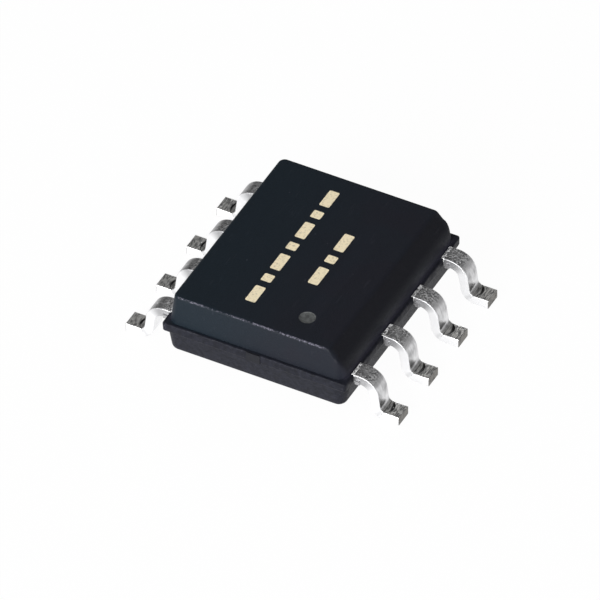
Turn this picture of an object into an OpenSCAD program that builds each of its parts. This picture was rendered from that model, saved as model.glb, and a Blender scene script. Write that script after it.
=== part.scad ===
// Flash memory chip in an eight-lead small-outline package, in millimetres.
// X runs along the lead rows, Y across them and Z up, away from the board.
// The origin is the middle of the seating plane, under the lead feet.

/* [Moulded body] */
// Length along the lead rows, over the parting flange
body_len = 4.94; // [4.7:0.02:5.2]
// Width across the lead rows, over the parting flange
body_wid = 4.05; // [3.85:0.01:4.1]
// Height of the top face above the seating plane
body_top = 1.56; // [1.45:0.01:1.75]
// Gap between the seating plane and the underside
standoff = 0.20; // [0.1:0.01:0.25]
// Set-back of the upper half from the edge of the flange
upper_step = 0.09; // [0.05:0.01:0.14]
// Set-back of the lower half from the edge of the flange
lower_step = 0.04; // [0.03:0.01:0.14]
// Draft of the upper half's sides, in degrees
upper_draft = 7.5; // [1:0.5:9]
// Draft of the lower half's sides, in degrees
lower_draft = 9; // [1:0.5:12]
// Radius of the upper half's upright corners, at the flange
upper_corner_r = 0.22; // [0.16:0.01:0.3]
// Radius of the lower half's upright corners, at the flange
lower_corner_r = 0.26; // [0.2:0.01:0.35]
// Radius of the rim round the top face
upper_rim_r = 0.06; // [0.02:0.01:0.1]
// Radius of the rim round the underside
lower_rim_r = 0.12; // [0.02:0.01:0.16]
// Radius of the flange's corners
flange_corner_r = 0.04; // [0.02:0.01:0.1]

/* [Pin-one marks] */
// Width of the pin-one bevel, inwards over the top face
bevel_wid = 0.28; // [0.15:0.01:0.4]
// Drop of the pin-one bevel, down the side
bevel_drop = 0.36; // [0.2:0.01:0.5]
// Diameter of the pin-one dot
dot_d = 0.33; // [0.2:0.01:0.6]
// Depth of the pin-one dot
dot_depth = 0.02; // [0.01:0.005:0.05]
// Distance from the end of the body to the middle of the dot
dot_from_end = 0.81; // [0.6:0.01:1.2]
// Distance from the long side of the body to the middle of the dot
dot_from_side = 1.25; // [1.0:0.01:1.6]

/* [Leads] */
// Distance between neighbouring leads in a row
lead_pitch = 1.27; // [1.2:0.01:1.3]
// Width of a lead
lead_wid = 0.40; // [0.31:0.01:0.5]
// Thickness of the lead frame's sheet
lead_thk = 0.20; // [0.15:0.01:0.25]
// Span over the feet, tip to tip
lead_span = 6.00; // [5.9:0.02:6.3]
// Height of the lead frame's upper face above the seating plane
frame_top = 0.92; // [0.85:0.01:1.0]
// Inside radius of the shoulder bend
shoulder_r = 0.20; // [0.1:0.01:0.24]
// Inside radius of the heel bend, above the foot
heel_r = 0.12; // [0.06:0.01:0.16]
// Lean of the leg from upright, in degrees
leg_lean = 8; // [0:1:14]
// Gap between the flange and the cut dam bar
dam_gap = 0.03; // [0.01:0.01:0.08]
// Length of the cut dam bar along the lead, up to the shoulder
dam_len = 0.10; // [0.06:0.01:0.14]
// How far the cut dam bar stands out from the lead's side
dam_out = 0.04; // [0.02:0.01:0.1]
// Width of a lead's bond head, inside the body
head_wid = 0.60; // [0.5:0.02:0.7]
// Length of a lead's bond head, inside the body
head_len = 0.32; // [0.26:0.02:0.4]

/* [Die and paddle] */
// Length of the paddle along the lead rows
paddle_len = 3.00; // [2.8:0.05:3.3]
// Width of the paddle
paddle_wid = 2.30; // [2.1:0.05:2.5]
// How far the paddle lies below the lead frame
paddle_drop = 0.16; // [0.1:0.01:0.2]
// Width of the tie bars at the paddle's ends
tie_wid = 0.30; // [0.2:0.02:0.5]
// Gap between the paddle and the bond heads
head_gap = 0.20; // [0.15:0.01:0.25]
// Length of the die along the lead rows
die_len = 2.40; // [1.8:0.05:2.7]
// Width of the die
die_wid = 1.70; // [1.2:0.05:2.0]
// Thickness of the die
die_thk = 0.25; // [0.15:0.01:0.3]
// Thickness of the die attach
attach_thk = 0.02; // [0.01:0.005:0.05]

/* [Bond wires] */
// Diameter of a bond wire
wire_d = 0.025; // [0.02:0.001:0.05]
// Height of a wire's loop above the die
loop_h = 0.15; // [0.1:0.01:0.2]
// Distance from the die's long edges to the bond pads
pad_from_edge = 0.10; // [0.06:0.01:0.2]
// Distance from the die's short edges to the outermost pads
pad_from_end = 0.25; // [0.1:0.01:0.4]
// Distance from a bond head's end to the wire that lands on it
land_from_end = 0.12; // [0.06:0.01:0.2]

/* [Hidden] */
$fn = 64;
// Length by which a cut runs past the face that it opens
past = 0.1;
// Leads in each of the two rows
row_leads = 4;
// Steps round the curve of a rim
rim_steps = 8;
// Sides of a wire's section and steps along its loop
wire_sides = 8;
wire_steps = 10;
// Control points of a wire's loop, as shares of its run and of the loop's height
rise_shares = [0.05, 1.6];
fall_shares = [0.55, 1.3];

// Heights of the lead frame, the paddle and the die
frame_bottom = frame_top - lead_thk;
// The upper face again, added up from the lower one, so that faces that meet share the very same height
frame_face = frame_bottom + lead_thk;
paddle_bottom = frame_bottom - paddle_drop;
paddle_top = paddle_bottom + lead_thk;
die_bottom = paddle_top + attach_thk;
die_top = die_bottom + die_thk;

// Size of the top face, inside the draft
upper_h = body_top - frame_face;
top_inset = upper_step + upper_h * tan(upper_draft);
top_half_wid = body_wid / 2 - top_inset;

// Path of a lead in its own plane, with the distance from the chip's middle first and the height second
head_start = paddle_wid / 2 + head_gap;
shoulder_start = body_wid / 2 + dam_gap + dam_len;
shoulder_c = [shoulder_start, frame_bottom - shoulder_r];
bend_reach = shoulder_r + lead_thk + heel_r;
heel_up = lead_thk + heel_r;
leg_len = (shoulder_c[1] + bend_reach * sin(leg_lean) - heel_up) / cos(leg_lean);
heel_c =
  shoulder_c + bend_reach * [cos(leg_lean), sin(leg_lean)] + leg_len * [sin(leg_lean), -cos(leg_lean)];

// Place of pin n along the row, and the side of the chip that it is on
function row_place(n) = n <= row_leads ? n - (row_leads + 1) / 2 : (3 * row_leads + 1) / 2 - n;
function pin_side(n) = n <= row_leads ? -1 : 1;
function pin_x(n) = row_place(n) * lead_pitch;

// Places of pin n's bond pad on the die and of its wire's landing on the bond head
function pad_x(n) = row_place(n) * (die_len - 2 * pad_from_end) / (row_leads - 1);
function pad_at(n) = [pad_x(n), pin_side(n) * (die_wid / 2 - pad_from_edge), die_top];
function land_at(n) = [pin_x(n), pin_side(n) * (head_start + land_from_end), frame_face];

// Point at share t of the curve through four control points, and its direction there
function curve_at(p, t) =
  pow(1 - t, 3) * p[0] + 3 * pow(1 - t, 2) * t * p[1] + 3 * (1 - t) * t * t * p[2] + pow(t, 3) * p[3];
function curve_way(p, t) =
  pow(1 - t, 2) * (p[1] - p[0]) + 2 * (1 - t) * t * (p[2] - p[1]) + t * t * (p[3] - p[2]);

// Control points of a wire's loop, with the distance along its run first and the height second
function loop_points(run, rise, fall) = [
  [0, 0],
  [rise_shares[0] * run, rise_shares[1] * rise],
  [fall_shares[0] * run, fall_shares[1] * rise],
  [run, -fall]
];

// Direction of a loop's step: straight up from the pad, straight down onto the bond head
function step_way(points, step) =
  step == 0 ? [0, 1] :
  step == wire_steps ? [0, -1] :
  curve_way(points, step / wire_steps) / norm(curve_way(points, step / wire_steps));

// Block with round upright corners and a round top rim, whose sides lean in towards the top
module drafted_block(length, width, height, corner_r, rim_r, draft) {
  inner_l = length / 2 - corner_r;
  inner_w = width / 2 - corner_r;
  translate([-inner_l, -inner_w, 0])
    cube([2 * inner_l, 2 * inner_w, height]);
  for (quarter = [0:3]) {
    out = quarter % 2 == 0 ? inner_l : inner_w;
    along = quarter % 2 == 0 ? inner_w : inner_l;
    rotate([0, 0, 90 * quarter]) {
      translate([out, 0, 0])
        rotate([90, 0, 0])
          linear_extrude(2 * along, center = true)
            rim_profile(corner_r, height, rim_r, draft);
      translate([out, along, 0])
        rotate_extrude(angle = 90)
          rim_profile(corner_r, height, rim_r, draft);
    }
  }
}

// Upright section of such a block's edge, with a rim tangent to the leaning side and to the top
module rim_profile(reach, height, rim_r, draft) {
  rim_c = [reach - (height - rim_r) * tan(draft) - rim_r / cos(draft), height - rim_r];
  rim = [
    for (step = [0:rim_steps - 1])
      let (turn = draft + (90 - draft) * step / rim_steps)
      rim_c + rim_r * [cos(turn), sin(turn)]
  ];
  polygon(concat([[0, 0], [reach, 0]], rim, [[rim_c[0], height], [0, height]]));
}

// Block with round corners and upright sides
module plain_block(length, width, height, corner_r) {
  inner_l = length / 2 - corner_r;
  inner_w = width / 2 - corner_r;
  translate([-inner_l, -width / 2, 0])
    cube([2 * inner_l, width, height]);
  translate([-length / 2, -inner_w, 0])
    cube([length, 2 * inner_w, height]);
  for (x = [-inner_l, inner_l], y = [-inner_w, inner_w])
    translate([x, y, 0])
      cylinder(h = height, r = corner_r);
}

module upper_half() {
  translate([0, 0, frame_face])
    drafted_block(
      body_len - 2 * upper_step, body_wid - 2 * upper_step,
      upper_h, upper_corner_r, upper_rim_r, upper_draft
    );
}

module flange() {
  translate([0, 0, frame_bottom])
    plain_block(body_len, body_wid, lead_thk, flange_corner_r);
}

module lower_half() {
  translate([0, 0, frame_bottom])
    rotate([180, 0, 0])
      drafted_block(
        body_len - 2 * lower_step, body_wid - 2 * lower_step,
        frame_bottom - standoff, lower_corner_r, lower_rim_r, lower_draft
      );
}

// Wedge that takes off the long top edge on the pin-one side
module bevel_cut() {
  slope = bevel_drop / (bevel_wid + bevel_drop * tan(upper_draft));
  inner = -top_half_wid + bevel_wid;
  outer = -body_wid / 2;
  rotate([90, 0, 90])
    linear_extrude(body_len, center = true)
      polygon([
        [inner + past, body_top + past * slope],
        [outer, body_top + past * slope],
        [outer, body_top - (inner - outer) * slope]
      ]);
}

module dot_cut() {
  translate([-body_len / 2 + dot_from_end, -body_wid / 2 + dot_from_side, body_top - dot_depth])
    cylinder(h = dot_depth + past, d = dot_d);
}

module mould_body() {
  color("#1d1e25")
    difference() {
      union() {
        upper_half();
        flange();
        lower_half();
      }
      bevel_cut();
      dot_cut();
      for (n = [1:2 * row_leads]) {
        place_lead(n)
          lead_flat();
        bond_wire(n, past);
      }
      die_paddle(past);
      die_space();
    }
}

// Lead of pin n, drawn on the +Y side at X = 0 and then set in its place
module place_lead(n) {
  translate([pin_x(n), 0, 0])
    rotate([0, 0, pin_side(n) < 0 ? 180 : 0])
      children();
}

// Flat part of a lead, from its bond head inside the body to its shoulder
module lead_flat() {
  translate([-head_wid / 2, head_start, frame_bottom])
    cube([head_wid, head_len, lead_thk]);
  translate([-lead_wid / 2, head_start, frame_bottom])
    cube([lead_wid, shoulder_start - head_start, lead_thk]);
}

// Stubs of the dam bar that joined neighbouring leads during moulding
module dam_stubs() {
  translate([-lead_wid / 2 - dam_out, shoulder_start - dam_len, frame_bottom])
    cube([lead_wid + 2 * dam_out, dam_len, lead_thk]);
}

// Bend of a lead about a centre in the lead's own plane, from one angle to another
module lead_bend(centre, inside_r, from, to) {
  translate(centre)
    rotate([0, 0, from])
      rotate_extrude(angle = to - from)
        translate([inside_r, -lead_wid / 2])
          square([lead_thk, lead_wid]);
}

// Shoulder, leg, heel and foot of a lead
module lead_bends() {
  rotate([90, 0, 90]) {
    lead_bend(shoulder_c, shoulder_r, leg_lean, 90);
    translate(shoulder_c)
      rotate([0, 0, leg_lean])
        translate([shoulder_r, -leg_len, -lead_wid / 2])
          cube([lead_thk, leg_len, lead_wid]);
    lead_bend(heel_c, heel_r, 180 + leg_lean, 270);
    translate([heel_c[0], 0, -lead_wid / 2])
      cube([lead_span / 2 - heel_c[0], lead_thk, lead_wid]);
  }
}

module lead(n) {
  color("#b9bbbd")
    place_lead(n) {
      lead_flat();
      dam_stubs();
      lead_bends();
    }
}

// Tie bar from the paddle's middle to the body's +X end and past it, stepping up to the lead frame
module tie_bar(run_past) {
  step_start = paddle_len / 2 + paddle_drop;
  step_end = step_start + paddle_drop;
  rotate([90, 0, 0])
    linear_extrude(tie_wid, center = true)
      polygon([
        [0, paddle_bottom],
        [step_start, paddle_bottom],
        [step_end, frame_bottom],
        [body_len / 2 + run_past, frame_bottom],
        [body_len / 2 + run_past, frame_face],
        [step_end, frame_face],
        [step_start, paddle_top],
        [0, paddle_top]
      ]);
}

// Paddle with its two tie bars. The cut for it runs past the body's ends
module die_paddle(run_past = 0) {
  color("#b07a4a") {
    translate([-paddle_len / 2, -paddle_wid / 2, paddle_bottom])
      cube([paddle_len, paddle_wid, lead_thk]);
    tie_bar(run_past);
    rotate([0, 0, 180])
      tie_bar(run_past);
  }
}

// Room for the die and its attach, from inside the paddle up to the die's top
module die_space() {
  space_bottom = paddle_top - lead_thk / 2;
  translate([-die_len / 2, -die_wid / 2, space_bottom])
    cube([die_len, die_wid, die_top - space_bottom]);
}

module die_attach() {
  color("#c9c9c4")
    translate([-die_len / 2, -die_wid / 2, paddle_top])
      cube([die_len, die_wid, attach_thk]);
}

module flash_die() {
  color("#6b6f7d")
    translate([-die_len / 2, -die_wid / 2, die_bottom])
      cube([die_len, die_wid, die_thk]);
}

// Wire of pin n: rings along its loop, skinned into one closed solid
// The cut for it runs on into the die and the bond head, by the length sunk
module bond_wire(n, sunk = 0) {
  start = pad_at(n);
  reach = land_at(n) - start;
  run = norm([reach[0], reach[1]]);
  along = [reach[0], reach[1], 0] / run;
  across = [-along[1], along[0], 0];
  points = loop_points(run, loop_h, -reach[2]);
  extra = sunk > 0 ? 1 : 0;
  rings = [
    for (ring = [-extra:wire_steps + extra], side = [0:wire_sides - 1])
      let (
        step = min(max(ring, 0), wire_steps),
        drop = ring == step ? 0 : sunk,
        at = curve_at(points, step / wire_steps),
        way = step_way(points, step),
        turn = 360 * side / wire_sides,
        out = wire_d / 2 * cos(turn),
        lift = wire_d / 2 * sin(turn)
      )
      start + across * out + along * (at[0] - lift * way[1]) + [0, 0, at[1] + lift * way[0] - drop]
  ];
  last = len(rings) - wire_sides;
  skin = [
    for (ring = [0:wire_sides:last - wire_sides], side = [0:wire_sides - 1])
      let (next = (side + 1) % wire_sides)
      each [
        [ring + side, ring + wire_sides + next, ring + next],
        [ring + side, ring + wire_sides + side, ring + wire_sides + next]
      ]
  ];
  ends = [
    [for (side = [0:wire_sides - 1]) side],
    [for (side = [wire_sides - 1:-1:0]) last + side]
  ];
  color("#d4af37")
    polyhedron(rings, concat(skin, ends));
}

mould_body();
lead(1);  // lead_1
lead(2);  // lead_2
lead(3);  // lead_3
lead(4);  // lead_4
lead(5);  // lead_5
lead(6);  // lead_6
lead(7);  // lead_7
lead(8);  // lead_8
die_paddle();
die_attach();
flash_die();
bond_wire(1);  // bond_wire_1
bond_wire(2);  // bond_wire_2
bond_wire(3);  // bond_wire_3
bond_wire(4);  // bond_wire_4
bond_wire(5);  // bond_wire_5
bond_wire(6);  // bond_wire_6
bond_wire(7);  // bond_wire_7
bond_wire(8);  // bond_wire_8
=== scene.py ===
"""Dresses an eight-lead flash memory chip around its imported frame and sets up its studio."""

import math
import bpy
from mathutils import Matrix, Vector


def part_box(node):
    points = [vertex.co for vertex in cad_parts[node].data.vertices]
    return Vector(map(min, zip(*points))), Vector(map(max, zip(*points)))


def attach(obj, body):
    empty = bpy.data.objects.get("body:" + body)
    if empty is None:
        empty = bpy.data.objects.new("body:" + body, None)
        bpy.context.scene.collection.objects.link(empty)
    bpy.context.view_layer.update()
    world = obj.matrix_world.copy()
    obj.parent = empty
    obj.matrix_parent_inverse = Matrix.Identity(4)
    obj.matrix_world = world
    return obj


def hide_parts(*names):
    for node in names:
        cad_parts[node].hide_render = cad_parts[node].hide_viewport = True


bl_info = {
    "name": "Flash memory chip",
    "version": (1, 0, 0),
    "blender": (4, 5, 0),
    "location": "3D View > Sidebar > Chip",
    "description": "Moulds the body, bends the leads, prints the marks and lights the studio",
    "category": "Object",
}

import bmesh
import bpy
from bl_math import clamp
from bpy.props import FloatProperty, FloatVectorProperty, IntProperty, PointerProperty
from bpy.types import Operator, Panel, PropertyGroup
from mathutils import Matrix, Vector, noise

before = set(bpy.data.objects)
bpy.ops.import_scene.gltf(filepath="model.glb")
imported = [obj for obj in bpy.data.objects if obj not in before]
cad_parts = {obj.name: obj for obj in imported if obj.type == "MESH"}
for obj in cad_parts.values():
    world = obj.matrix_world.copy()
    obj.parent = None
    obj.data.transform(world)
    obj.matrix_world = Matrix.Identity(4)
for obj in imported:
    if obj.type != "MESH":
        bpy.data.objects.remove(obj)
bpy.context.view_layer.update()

MM = 0.001
MICRON = 0.001 * MM
QUARTER_TURN = math.pi / 2.0
BODY_LOW, BODY_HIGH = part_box("mould_body")
LEAD_LOW, LEAD_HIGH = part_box("lead_1")
LEAD_ROOT, LEAD_TIP = sorted((abs(LEAD_LOW.y), abs(LEAD_HIGH.y)))
PIN_COUNT = sum(name.startswith("lead_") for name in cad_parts)
PINS = range(1, PIN_COUNT + 1)


# Settings

def length(name, default, description):
    """A length; its default is given in millimetres."""
    return FloatProperty(name=name, description=description, default=default * MM,
                         unit="LENGTH", subtype="DISTANCE", precision=6)


def angle(name, default, description):
    """An angle; its default is given in degrees."""
    return FloatProperty(name=name, description=description, default=math.radians(default), subtype="ANGLE")


def share(name, default, description):
    """A plain number from 0 to 1."""
    return FloatProperty(name=name, description=description, default=default,
                         min=0.0, max=1.0, subtype="FACTOR")


def watts(name, default, description):
    """A lamp's power."""
    return FloatProperty(name=name, description=description, default=default, unit="POWER")


def count(name, default, description):
    """A whole number from 1."""
    return IntProperty(name=name, description=description, default=default, min=1)


def colour(name, default, description):
    """A linear colour without alpha."""
    return FloatVectorProperty(name=name, description=description, default=default, size=3,
                               min=0.0, max=1.0, subtype="COLOR")


class ChipBodySettings(PropertyGroup):
    """Sizes and colours of the moulded body."""
    upper_setback: length("Upper setback", 0.09, "Ledge between the flange and the upper half")
    lower_setback: length("Lower setback", 0.04, "Step between the flange and the lower half")
    upper_draft: angle("Upper draft", 7.5, "Lean of the upper half's sides")
    lower_draft: angle("Lower draft", 9.0, "Lean of the lower half's sides")
    upper_corner: length("Upper corner", 0.22, "Corner radius of the upper half at the ledge")
    lower_corner: length("Lower corner", 0.26, "Corner radius of the lower half at the flange")
    flange_corner: length("Flange corner", 0.07, "Corner radius of the flange")
    upper_rim: length("Upper rim", 0.06, "Rounding of the top edge")
    bevel_rim: length("Bevel rim", 0.11, "Rounding of the bevel's two ends")
    bevel_foot: length("Bevel foot", 0.42, "Rounding of the bevel's long lower edge")
    lower_rim: length("Lower rim", 0.12, "Rounding of the bottom edge")
    flange_rim: length("Flange rim", 0.036, "Rounding of the flange's two edges")
    bevel_width: length("Bevel width", 0.28, "Width of the pin-one bevel on the top face")
    bevel_drop: length("Bevel drop", 0.36, "Height of the pin-one bevel on the side")
    bevel_blend: length("Bevel blend", 0.05, "Rounding of the crease along the bevel")
    dot_width: length("Dot width", 0.33, "Diameter of the pin-one dot")
    dot_depth: length("Dot depth", 0.012, "Depth of the pin-one dot")
    dot_from_end: length("Dot from end", 0.81, "Dot's middle from the flange's end")
    dot_from_side: length("Dot from side", 1.25, "Dot's middle from the flange's side")
    flash_rough: length("Parting roughness", 0.024, "Unevenness of the flange left by the mould's parting")
    chip_depth: length("Chipped rim", 0.010, "Depth of the worn spots along the front top edge")
    root_cover: length("Root cover", 0.028, "How far the thin rim of the ledge lies over the leads")
    print_room: length("Print room", 0.002, "How far the top face lies under the part's full height")
    upper_colour: colour("Upper half", (0.0077, 0.0131, 0.0192), "Compound of the upper half")
    upper_tint: colour("Upper tint", (0.0104, 0.0112, 0.0168), "Compound towards the pin-one side")
    # Painted sheen: a lighter band at the foot of the upper half's long sides, standing in for a reflection
    # of the floor
    skirt_sheen_colour: colour("Skirt", (0.036, 0.036, 0.052), "Foot of the upper half's long sides")
    lower_colour: colour("Lower half", (0.0106, 0.0113, 0.0168), "Compound of the flange and the lower half")
    # Bare filler for grit, scuffs and the worn front edge; on that edge it also stands in for a painted
    # highlight
    wear_and_highlight_colour: colour("Worn edge", (0.19, 0.185, 0.232), "Bare filler along the worn edge")
    dot_colour: colour("Dot", (0.084, 0.088, 0.088), "Floor of the pin-one dot")


class ChipLeadSettings(PropertyGroup):
    """Sizes and colours of the gull-wing leads."""
    width: length("Width", 0.40, "Width of the strip")
    thickness: length("Thickness", 0.20, "Thickness of the strip")
    edge_round: length("Edge rounding", 0.022, "Rounding of the strip's long edges")
    shoulder_radius: length("Shoulder radius", 0.20, "Inner radius of the upper bend")
    heel_radius: length("Heel radius", 0.12, "Inner radius of the lower bend")
    lean: angle("Leg lean", 8.0, "Lean of the leg away from the body")
    dam_gap: length("Dam gap", 0.03, "Distance from the body to the trimmed dam bar")
    dam_length: length("Dam length", 0.10, "Length of the trimmed dam bar along the lead")
    dam_out: length("Dam stub", 0.04, "How far the trimmed dam bar stands out")
    head_width: length("Head width", 0.60, "Width of the bond head inside the body")
    head_length: length("Head length", 0.32, "Length of the bond head inside the body")
    ring_step: length("Ring step", 0.010, "Distance between the rings of the swept strip")
    ripple: length("Ripple", 0.006, "Unevenness left by stamping and trimming")
    dent_depth: length("Heel dent", 0.05, "Depth of the round dent that the forming punch leaves on the foot")
    dent_reach: length("Dent reach", 0.18, "How far that dent bulges from the heel towards the tip")
    dent_lip: length("Dent lip", 0.007, "Height of the lip round that dent")
    dent_back: length("Dent start", 0.10, "How far that dent starts before the end of the lower bend")
    tin_colour: colour("Tin", (0.92, 0.92, 0.93), "Matte tin plate")
    # Dark grains of the plate, also used as the painted shade on the bends and the far feet
    dull_and_shade_colour: colour("Dull tin", (0.21, 0.21, 0.215), "Dark grains of the plate")
    # Painted shade: near-black colour for the heel dent's wall and crease and the far row's upper bend
    dent_shade_colour: colour("Dent", (0.022, 0.022, 0.024), "Dark wall of the heel's dent")
    cut_colour: colour("Cut side", (0.46, 0.46, 0.47), "Trimmed sides near the body")
    foot_colour: colour("Foot", (0.79, 0.78, 0.74), "Plate of the foot, a little brown")
    bare_colour: colour("Trimmed end", (0.15, 0.144, 0.134), "Bare alloy at the trimmed end of the foot")


class ChipMarkSettings(PropertyGroup):
    """Sizes and colour of the printed marks on the top face."""
    first_row: length("First row", 0.44, "Middle line of the long row of dashes")
    second_row: length("Second row", -0.41, "Middle line of the short row of dashes")
    first_span: length("First span", 3.60, "Length of the long row")
    second_span: length("Second span", 1.60, "Length of the short row")
    first_count: count("First count", 4, "Dashes in the long row, with a square between each two")
    second_count: count("Second count", 2, "Dashes in the short row, with a square between each two")
    shift: length("Shift", 0.05, "Middle of both rows along the body")
    bar_height: length("Bar height", 0.22, "Height of a dash")
    bar_gap: length("Bar gap", 0.17, "Gap between neighbours in a row")
    corner: length("Corner", 0.03, "Corner radius of a dash")
    ink_thickness: length("Ink thickness", 0.0012, "Thickness of the printed ink")
    ink_colour: colour("Ink", (0.86, 0.75, 0.52), "Cream marking ink")


class ChipInsideSettings(PropertyGroup):
    """Colours of the pieces sealed in the body."""
    copper_colour: colour("Copper frame", (0.55, 0.33, 0.20), "Dull copper alloy")
    tarnish_colour: colour("Tarnish", (0.013, 0.0135, 0.017), "Tarnished ends of the tie bars")
    epoxy_colour: colour("Die attach", (0.60, 0.60, 0.58), "Silver-filled epoxy")
    silicon_colour: colour("Silicon", (0.16, 0.17, 0.20), "Polished silicon")
    gold_colour: colour("Gold", (0.83, 0.62, 0.22), "Drawn gold wire")
    tie_reach: length("Tie-bar end", 2.40, "Distance from the middle at which the tie bars are tarnished")


class ChipStudioSettings(PropertyGroup):
    """Camera, lamps and floor."""
    azimuth: angle("Azimuth", -62.234, "Camera's turn about the part")
    elevation: angle("Elevation", 41.946, "Camera's height over the floor")
    roll: angle("Roll", -0.352, "Camera's tilt to the side")
    distance: length("Distance", 313.795, "Camera's distance from the aim")
    aim_height: length("Aim height", 0.75, "Height of the aim over the floor")
    aim_right: length("Aim to the right", -0.2261, "Picture's middle from the aim, to the right")
    aim_up: length("Aim upwards", -0.2827, "Picture's middle from the aim, upwards")
    picture_span: length("Picture span", 11.7194, "Width of the picture at the aim")
    floor_size: length("Floor", 1600.0, "Side of the floor")
    floor_white: share("Floor white", 0.97, "Share of plain white in what the camera sees of the floor")
    floor_colour: colour("Floor colour", (0.92, 0.92, 0.92), "Pale floor")
    horizon: share("Horizon", 0.46, "Brightness of the room just above the floor")
    zenith: share("Zenith", 0.30, "Brightness of the room overhead")
    front_power: watts("Front box", 0.77, "Power of the soft box before the chip")
    top_power: watts("Top box", 0.03, "Power of the soft box overhead")


class ChipSettings(PropertyGroup):
    """All settings of the chip."""
    body: PointerProperty(type=ChipBodySettings)
    leads: PointerProperty(type=ChipLeadSettings)
    marks: PointerProperty(type=ChipMarkSettings)
    inside: PointerProperty(type=ChipInsideSettings)
    studio: PointerProperty(type=ChipStudioSettings)


# Node helpers

class Field:
    """An output of a node; arithmetic and comparisons with it add Math nodes to its tree."""

    def __init__(self, tree, socket):
        self.tree = tree
        self.socket = socket

    def __add__(self, other):
        return compute("ADD", self, other)

    def __sub__(self, other):
        return compute("SUBTRACT", self, other)

    def __rsub__(self, other):
        return compute("SUBTRACT", other, self)

    def __mul__(self, other):
        return compute("MULTIPLY", self, other)

    def __truediv__(self, other):
        return compute("DIVIDE", self, other)

    def __mod__(self, other):
        return compute("MODULO", self, other)

    def __pow__(self, other):
        return compute("POWER", self, other)

    def __lt__(self, other):
        return compute("LESS_THAN", self, other)

    def __gt__(self, other):
        return compute("GREATER_THAN", self, other)

    def __abs__(self):
        return compute("ABSOLUTE", self)


def feed(tree, socket, value):
    """Links a field to an input, or sets the input to a plain value; colours come without alpha."""
    if isinstance(value, Field):
        tree.links.new(value.socket, socket)
    elif socket.type == "RGBA":
        socket.default_value = (*value, 1.0)
    else:
        socket.default_value = value


def add_node(tree, kind, inputs=None, **settings):
    """Adds a node with its settings and feeds its inputs."""
    node = tree.nodes.new(kind)
    for name, value in settings.items():
        setattr(node, name, value)
    for key, value in (inputs or {}).items():
        feed(tree, node.inputs[key], value)
    return node


def add_field(tree, kind, inputs=None, output=0, **settings):
    """Adds a node and returns one of its outputs."""
    return Field(tree, add_node(tree, kind, inputs, **settings).outputs[output])


def add_fields(tree, kind, inputs=None, **settings):
    """Adds a node and returns its outputs by name."""
    node = add_node(tree, kind, inputs, **settings)
    return {socket.name: Field(tree, socket) for socket in node.outputs}


def compute(operation, *values):
    """The result of a Math node on fields and numbers."""
    tree = next(value.tree for value in values if isinstance(value, Field))
    return add_field(tree, "ShaderNodeMath", dict(enumerate(values)), operation=operation)


def largest(first, *others):
    """The largest of a field and other fields or numbers."""
    for other in others:
        first = compute("MAXIMUM", first, other)
    return first


def remap(value, low, high, to_low=0.0, to_high=1.0, way="SMOOTHSTEP"):
    """Maps a field from one range to another, held at both ends."""
    inputs = {0: value, 1: low, 2: high, 3: to_low, 4: to_high}
    return add_field(value.tree, "ShaderNodeMapRange", inputs, interpolation_type=way)


def fade(value, start, end):
    """Maps a field smoothly from the range 0 to 1 to another."""
    return remap(value, 0.0, 1.0, start, end)


def mix(factor, first, second):
    """Mixes two colours by a field."""
    return add_field(factor.tree, "ShaderNodeMix", {0: factor, 6: first, 7: second}, 2, data_type="RGBA")


def toned(tint, gain):
    """A colour made lighter or darker by a gain."""
    return tuple(gain * part for part in tint)


def two_tone(pattern, tint, dark, light):
    """A colour that goes from a dark gain to a light one with a pattern."""
    return mix(pattern, toned(tint, dark), toned(tint, light))


def parts(vector):
    """The three parts of a vector or a colour."""
    return list(add_fields(vector.tree, "ShaderNodeSeparateXYZ", {0: vector}).values())


def attribute(tree, name):
    """A float attribute of the mesh, for a material."""
    return add_field(tree, "ShaderNodeAttribute", output="Fac", attribute_name=name)


def millimetres(tree):
    """Object coordinates in millimetres."""
    place = add_field(tree, "ShaderNodeTexCoord", output="Object")
    return add_field(tree, "ShaderNodeVectorMath", {0: place, "Scale": 1.0 / MM}, operation="SCALE")


INPUT_KINDS = {float: "NodeSocketFloat", tuple: "NodeSocketVector", bpy.types.Material: "NodeSocketMaterial"}
OUTPUT_KINDS = {"ShaderNodeTree": "NodeSocketFloat", "GeometryNodeTree": "NodeSocketGeometry"}


def new_group(name, tree_type, build, inputs):
    """Makes a node group with named inputs and one output, which a function builds from the inputs."""
    tree = bpy.data.node_groups.new(name, tree_type)
    for label, default in inputs.items():
        kind = INPUT_KINDS[type(default)]
        tree.interface.new_socket(name=label, in_out="INPUT", socket_type=kind).default_value = default
    tree.interface.new_socket(name=name, in_out="OUTPUT", socket_type=OUTPUT_KINDS[tree_type])
    given = add_fields(tree, "NodeGroupInput")
    result = build(tree, given)
    feed(tree, tree.nodes.new("NodeGroupOutput").inputs[0], result)
    return tree


# Shared surface effects

SPECK_CORE = 0.5
WEAR_RANGE = 0.22


def grain(tree, given):
    """Noise in millimetres, stretched if need be, and cut to a range."""
    place = add_field(tree, "ShaderNodeVectorMath", {0: millimetres(tree), 1: given["Stretch"]},
                      operation="MULTIPLY")
    cloud = add_field(tree, "ShaderNodeTexNoise",
                      {"Vector": place, "Scale": given["Scale"], "Detail": given["Detail"]})
    return remap(cloud, given["Low"], given["High"])


def specks(tree, given):
    """Small scattered specks: a share of the cells of a fine cell pattern."""
    cells = add_fields(tree, "ShaderNodeTexVoronoi", {"Vector": millimetres(tree), "Scale": given["Scale"]})
    chosen = parts(cells["Color"])[0] < given["Share"]
    return chosen * remap(cells["Distance"], given["Radius"], given["Radius"] * SPECK_CORE)


def edge_wear(tree, given):
    """Wear that breaks up an edge mask, so that it comes and goes along the edge."""
    cloud = add_field(tree, "ShaderNodeTexNoise", {"Vector": millimetres(tree), "Scale": given["Scale"],
                                                   "Detail": 4.0, "Roughness": 0.8})
    bare = 1.0 - given["Cover"]
    return remap(cloud * given["Edge"], bare, bare + WEAR_RANGE)


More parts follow.
